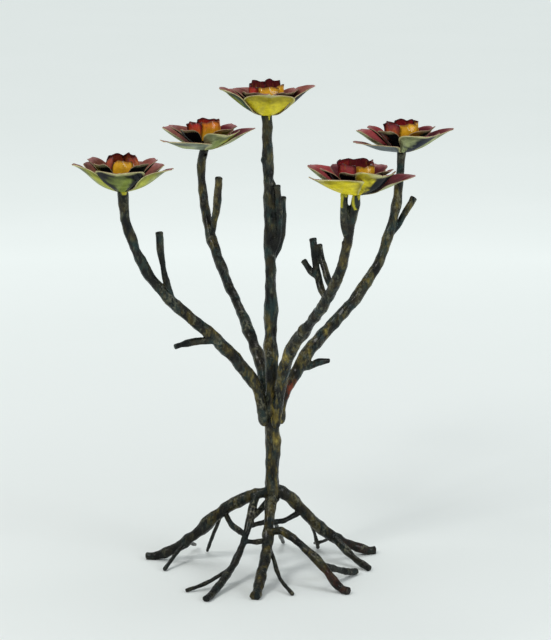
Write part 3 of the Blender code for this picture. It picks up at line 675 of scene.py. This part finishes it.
def cup_painted(low, high, t, v, inner_side, seed):
    """Colour of a cup petal: a warm low belly, redder above, dark along the rim, with painted
    shade inside the cup and in the folds between petals."""
    streak = 0.5 * wander(1.5 * t, 9 * v, seed) + 0.25 * wander(3 * t, 21 * v, seed)
    colour = mix(low, high, ease(0.25, 0.80, t + 0.5 * streak))
    colour = mix(colour, AMBER, 0.5 * ease(0.10, 0.45, streak))
    # dark along the rim, and painted shade on the inside of the cup
    colour = mix(colour, MAROON, 0.6 * ease(0.84, 0.95, t + 0.12 * streak) + 0.35 * inner_side)
    colour = mix(colour, INK, 0.7 * ease(0.95, 1.0, t))
    # painted shade in the folds between petals
    return mix(colour, INK, 0.75 * ease(0.74, 1.0, abs(v) + 0.3 * streak))


def painted_star(floor_radius, hole_radius, base, point_of, colour_of, place):
    """A stamping of petals round a flat middle, as one closed sheet with paint on it.
    point_of(petal, t, v) is the underside's radius, angle and height, and
    colour_of(petal, t, v, top_side) the paint there."""
    bm = bmesh.new()
    paint = bm.loops.layers.float_color.new("paint")
    colours = {}
    around = PETALS * COLUMNS

    def surface(petal, t, v):
        """A point of the underside."""
        radius, angle, height = point_of(petal, t, v)
        angle += 2 * math.pi * petal / PETALS
        return Vector((radius * math.cos(angle), radius * math.sin(angle), base + height))

    def vert(point, petal, t, v, top_side):
        """A new vertex, with its paint noted."""
        made = bm.verts.new(point)
        colours[made] = colour_of(petal, t, v, top_side)
        return made

    def both_sides(petal, t, v, step=2e-3):
        """A vertex on the underside, and one over it on the top side."""
        here = surface(petal, t, v)
        along = surface(petal, min(1.0, t + step), v) - surface(petal, t - step, v)
        across = surface(petal, t, min(1.0, v + step)) - surface(petal, t, max(-1.0, v - step))
        skin = SHEET * along.cross(across).normalized()
        return vert(here, petal, t, v, False), vert(here + skin, petal, t, v, True)

    def ring(radius, height, top_side):
        """A circle of vertices in the flat middle, in step with the petals' columns."""
        turns = [2 * math.pi * k / around - math.pi / PETALS for k in range(around)]
        return [vert(Vector((radius * math.cos(a), radius * math.sin(a), base + height)),
                     k // COLUMNS, 0.0, 0.0, top_side) for k, a in enumerate(turns)]

    low_rim, high_rim = ring(floor_radius, 0, False), ring(floor_radius, SHEET, True)
    low_hole, high_hole = ring(hole_radius, 0, False), ring(hole_radius, SHEET, True)
    for k in range(around):
        n = (k + 1) % around
        bm.faces.new((low_rim[n], low_rim[k], low_hole[k], low_hole[n]))
        bm.faces.new((high_rim[k], high_rim[n], high_hole[n], high_hole[k]))
        bm.faces.new((low_hole[k], high_hole[k], high_hole[n], low_hole[n]))
    for petal in range(PETALS):
        index = [(petal * COLUMNS + c) % around for c in range(COLUMNS + 1)]
        low, high = [low_rim[i] for i in index], [high_rim[i] for i in index]
        for r in range(1, ROWS + 1):
            row = [both_sides(petal, r / ROWS, 2 * c / COLUMNS - 1) for c in range(COLUMNS + 1)]
            new_low, new_high = zip(*row)
            for c in range(COLUMNS):
                bm.faces.new((low[c + 1], low[c], new_low[c], new_low[c + 1]))
                bm.faces.new((high[c], high[c + 1], new_high[c + 1], new_high[c]))
            bm.faces.new((low[0], high[0], new_high[0], new_low[0]))
            bm.faces.new((high[-1], low[-1], new_low[-1], new_high[-1]))
            low, high = new_low, new_high
        for c in range(COLUMNS):
            bm.faces.new((low[c + 1], low[c], high[c], high[c + 1]))
    bmesh.ops.recalc_face_normals(bm, faces=bm.faces)
    for face in bm.faces:
        for loop in face.loops:
            loop[paint] = (*colours[loop.vert], 1.0)
    bm.transform(place)
    mesh = bpy.data.meshes.new("star")
    bm.to_mesh(mesh)
    bm.free()
    return mesh


def rivet_head(seat, floor_height, sides=28):
    """A countersunk rivet head, hammered nearly flush with the cup's floor. The profile's rows
    are heights over that floor and shares of the head's radius."""
    profile = [(-SHEET, 0.62), (-0.0001, 0.98), (0.0, 1.0), (0.6 * RIVET_CROWN, 0.82),
               (0.9 * RIVET_CROWN, 0.50), (RIVET_CROWN, 0.18)]
    bm = bmesh.new()
    angles = [2 * math.pi * k / sides for k in range(sides)]
    rings = []
    for height, reach in profile:
        z = seat.z + floor_height + height
        rings.append([bm.verts.new((seat.x + RIVET_HEAD_RADIUS * reach * math.cos(a),
                                    seat.y + RIVET_HEAD_RADIUS * reach * math.sin(a), z))
                      for a in angles])
    for low, high in zip(rings, rings[1:]):
        for k in range(sides):
            n = (k + 1) % sides
            bm.faces.new((low[k], low[n], high[n], high[k]))
    bm.faces.new(rings[-1])
    bm.faces.new(rings[0][::-1])
    mesh = bpy.data.meshes.new("rivet")
    bm.to_mesh(mesh)
    bm.free()
    return mesh


def flower(name, seat, finishes, heading, bends, turns, laps, middle, cup, cup_petals,
           shoulders, middle_shoulders, outer_paint, middle_paint, cup_paint):
    """Two layers of petals, a candle cup and a rivet on a branch's end."""
    seed = 1.0 + 3.7 * list(FLOWERS).index(name)
    turn = math.radians(heading)
    ahead = Vector((math.sin(turn), -math.cos(turn), 0))
    up = Vector((0, 0, 1))
    place = Matrix.Translation(seat) @ Matrix((ahead, up.cross(ahead), up)).transposed().to_4x4()
    middle_place = place @ Matrix.Rotation(math.pi / PETALS + math.radians(middle[2]), 4, "Z")
    length, bend = middle[0], math.radians(middle[1])
    cup_floor = next(m["pos_m"][2] for m in frame["record"]["mounts"]
                     if m["name"] == "candle_seat_" + name) - seat.z
    wall = cup - cup_floor + SHEET

    def outer_at(petal, t, v):
        lap = -LAP * laps[petal] if v > 0 else LAP * laps[petal - 1]
        point = bowl_point(t, v, OUTER_LENGTH, math.radians(bends[petal]), OUTER_CURL,
                           OUTER_SHAPE, lap)
        point = hammered(point, t, v, shoulders, petal)
        return bent_by_hand(point, t, v, seed + petal, math.radians(turns[petal]))

    def middle_at(petal, t, v):
        point = bowl_point(t, v, length, bend, MIDDLE_CURL, MIDDLE_SHAPE)
        point = hammered(point, t, v, middle_shoulders, petal)
        return bent_by_hand(point, t, v, seed + petal + 0.5)

    def cup_at(petal, t, v):
        share, closing_mm = cup_petals[petal]
        return cup_point(t, v, wall * share, 0.001 * closing_mm, seed + petal)

    def paint_of(rows, cream, shift):
        return lambda petal, t, v, top_side: painted(rows[petal][:3], rows[petal][3], cream, t, v,
                                                     top_side, seed + shift + petal)

    def cup_paint_at(petal, t, v, top_side):
        return cup_painted(*cup_paint[petal], t, v, top_side, seed + petal)

    layers = [
        ("outer_petals", "outer_petal_paint", painted_star(
            SEAT_RADIUS, HOLE_RADIUS, SEAT_GAP, outer_at, paint_of(outer_paint, 0.85, 0.0),
            place)),
        ("middle_petals", "middle_petal_paint", painted_star(
            SEAT_RADIUS, HOLE_RADIUS, 2 * SEAT_GAP + SHEET, middle_at,
            paint_of(middle_paint, 0.40, 9.0), middle_place)),
        ("candle_cup", "cup_paint", painted_star(
            CUP_FLOOR_RADIUS, RIVET_HEAD_RADIUS + SEAT_GAP, cup_floor - SHEET, cup_at,
            cup_paint_at, place)),
    ]
    for part, slot, mesh in layers:
        node = f"flower_{name}_{part}"
        add_piece("painted_" + node, mesh, finishes[slot], [node])
    node = f"flower_{name}_rivet"
    add_piece("flush_" + node, rivet_head(seat, cup_floor), finishes["rivet_steel"],
              [node])


def flower_seat(name):
    """The middle of the flower's branch end: under the outer petals, in line with the rivet."""
    low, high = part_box(f"flower_{name}_rivet")
    return Vector((*((low + high) / 2).xy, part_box(f"flower_{name}_outer_petals")[0].z - SEAT_GAP))


# ---- floor, lights and camera -------------------------------------------------
def floor_plane():
    """A pale seamless floor. Away from the tree, where no lamp reaches, the paper glows a
    little, so that it runs on into a bright studio."""
    mesh = bpy.data.meshes.new("studio_floor")
    half = FLOOR_SIZE / 2
    corners = [(-half, -half, 0), (half, -half, 0), (half, half, 0), (-half, half, 0)]
    mesh.from_pydata(corners, [], [(0, 1, 2, 3)])
    floor = bpy.data.objects.new("studio_floor", mesh)
    bpy.context.scene.collection.objects.link(floor)
    g = Graph("studio_paper")
    distance = g.tree.nodes.new("ShaderNodeVectorMath")
    distance.operation = "LENGTH"
    g.link(g.place, distance.inputs[0])
    far = g.range(distance.outputs["Value"], GLOW_START, GLOW_FULL)
    colour = g.mix(far, (0.79, 0.83, 0.82), (0.74, 0.78, 0.77))
    colour = g.mix(g.range(g.noise(1.4, 3), 0.40, 0.70, 0.0, 0.25), colour, (0.82, 0.85, 0.85))
    g.shader.inputs["Emission Color"].default_value = (0.88, 0.95, 0.93, 1.0)
    g.link(g.math("MULTIPLY", far, GLOW), g.shader.inputs["Emission Strength"])
    roughness = g.range(g.noise(30, 2), 0.3, 0.7, 0.75, 0.88)
    g.finish(colour, roughness, g.bump(g.noise(500, 2), 0.0002, 0.1), Specular_IOR_Level=0.1)
    mesh.materials.append(g.material)


def softbox(name, place, target, size, power, colour):
    """A square lamp aimed at the target, its power in watts."""
    data = bpy.data.lights.new(name, "AREA")
    data.shape, data.size, data.energy, data.color = "SQUARE", size, power, colour
    light = bpy.data.objects.new(name, data)
    bpy.context.scene.collection.objects.link(light)
    light.location = place
    light.rotation_euler = (Vector(target) - Vector(place)).to_track_quat("-Z", "Y").to_euler()


def studio(trunk_foot):
    """Floor, lights and camera."""
    floor_plane()
    middle = (trunk_foot.x, trunk_foot.y, 0.35)
    softbox("key", (-1.5, -1.7, 2.3), middle, 0.7, 29, (1.0, 0.99, 0.96))
    softbox("fill", (2.1, -1.4, 1.3), middle, 1.0, 19, (0.93, 0.97, 1.0))
    softbox("overhead", (0.0, 0.6, 2.6), middle, 1.4, 20, (1.0, 1.0, 1.0))
    world = bpy.data.worlds.new("studio")
    world.use_nodes = True
    sky = world.node_tree.nodes["Background"].inputs
    sky["Color"].default_value = (0.92, 0.95, 0.95, 1.0)
    sky["Strength"].default_value = 0.50
    scene = bpy.context.scene
    scene.world = world
    scene.view_settings.view_transform = "Standard"
    lens = bpy.data.cameras.new("camera")
    lens.lens, lens.sensor_width = LENS_MM, SENSOR_MM
    camera = bpy.data.objects.new("camera", lens)
    scene.collection.objects.link(camera)
    camera.location = (trunk_foot.x + CAMERA_OFFSET, trunk_foot.y - CAMERA_DISTANCE, CAMERA_HEIGHT)
    camera.rotation_euler = (math.radians(90 - CAMERA_TILT), 0, 0)
    scene.camera = camera


# ---- assembly -----------------------------------------------------------------
ironwork()
FINISHES = {
    "outer_petal_paint": enamel_material("outer_petal_enamel", 120, 0.16, 0.18),
    "middle_petal_paint": enamel_material("middle_petal_enamel", 140, 0.12, 0.18),
    "cup_paint": enamel_material("cup_enamel", 170, 0.20, 0.50),
    "rivet_steel": steel_material(),
}
for flower_name, settings in FLOWERS.items():
    flower(flower_name, flower_seat(flower_name), FINISHES, **settings)
studio(foot_of("trunk"))
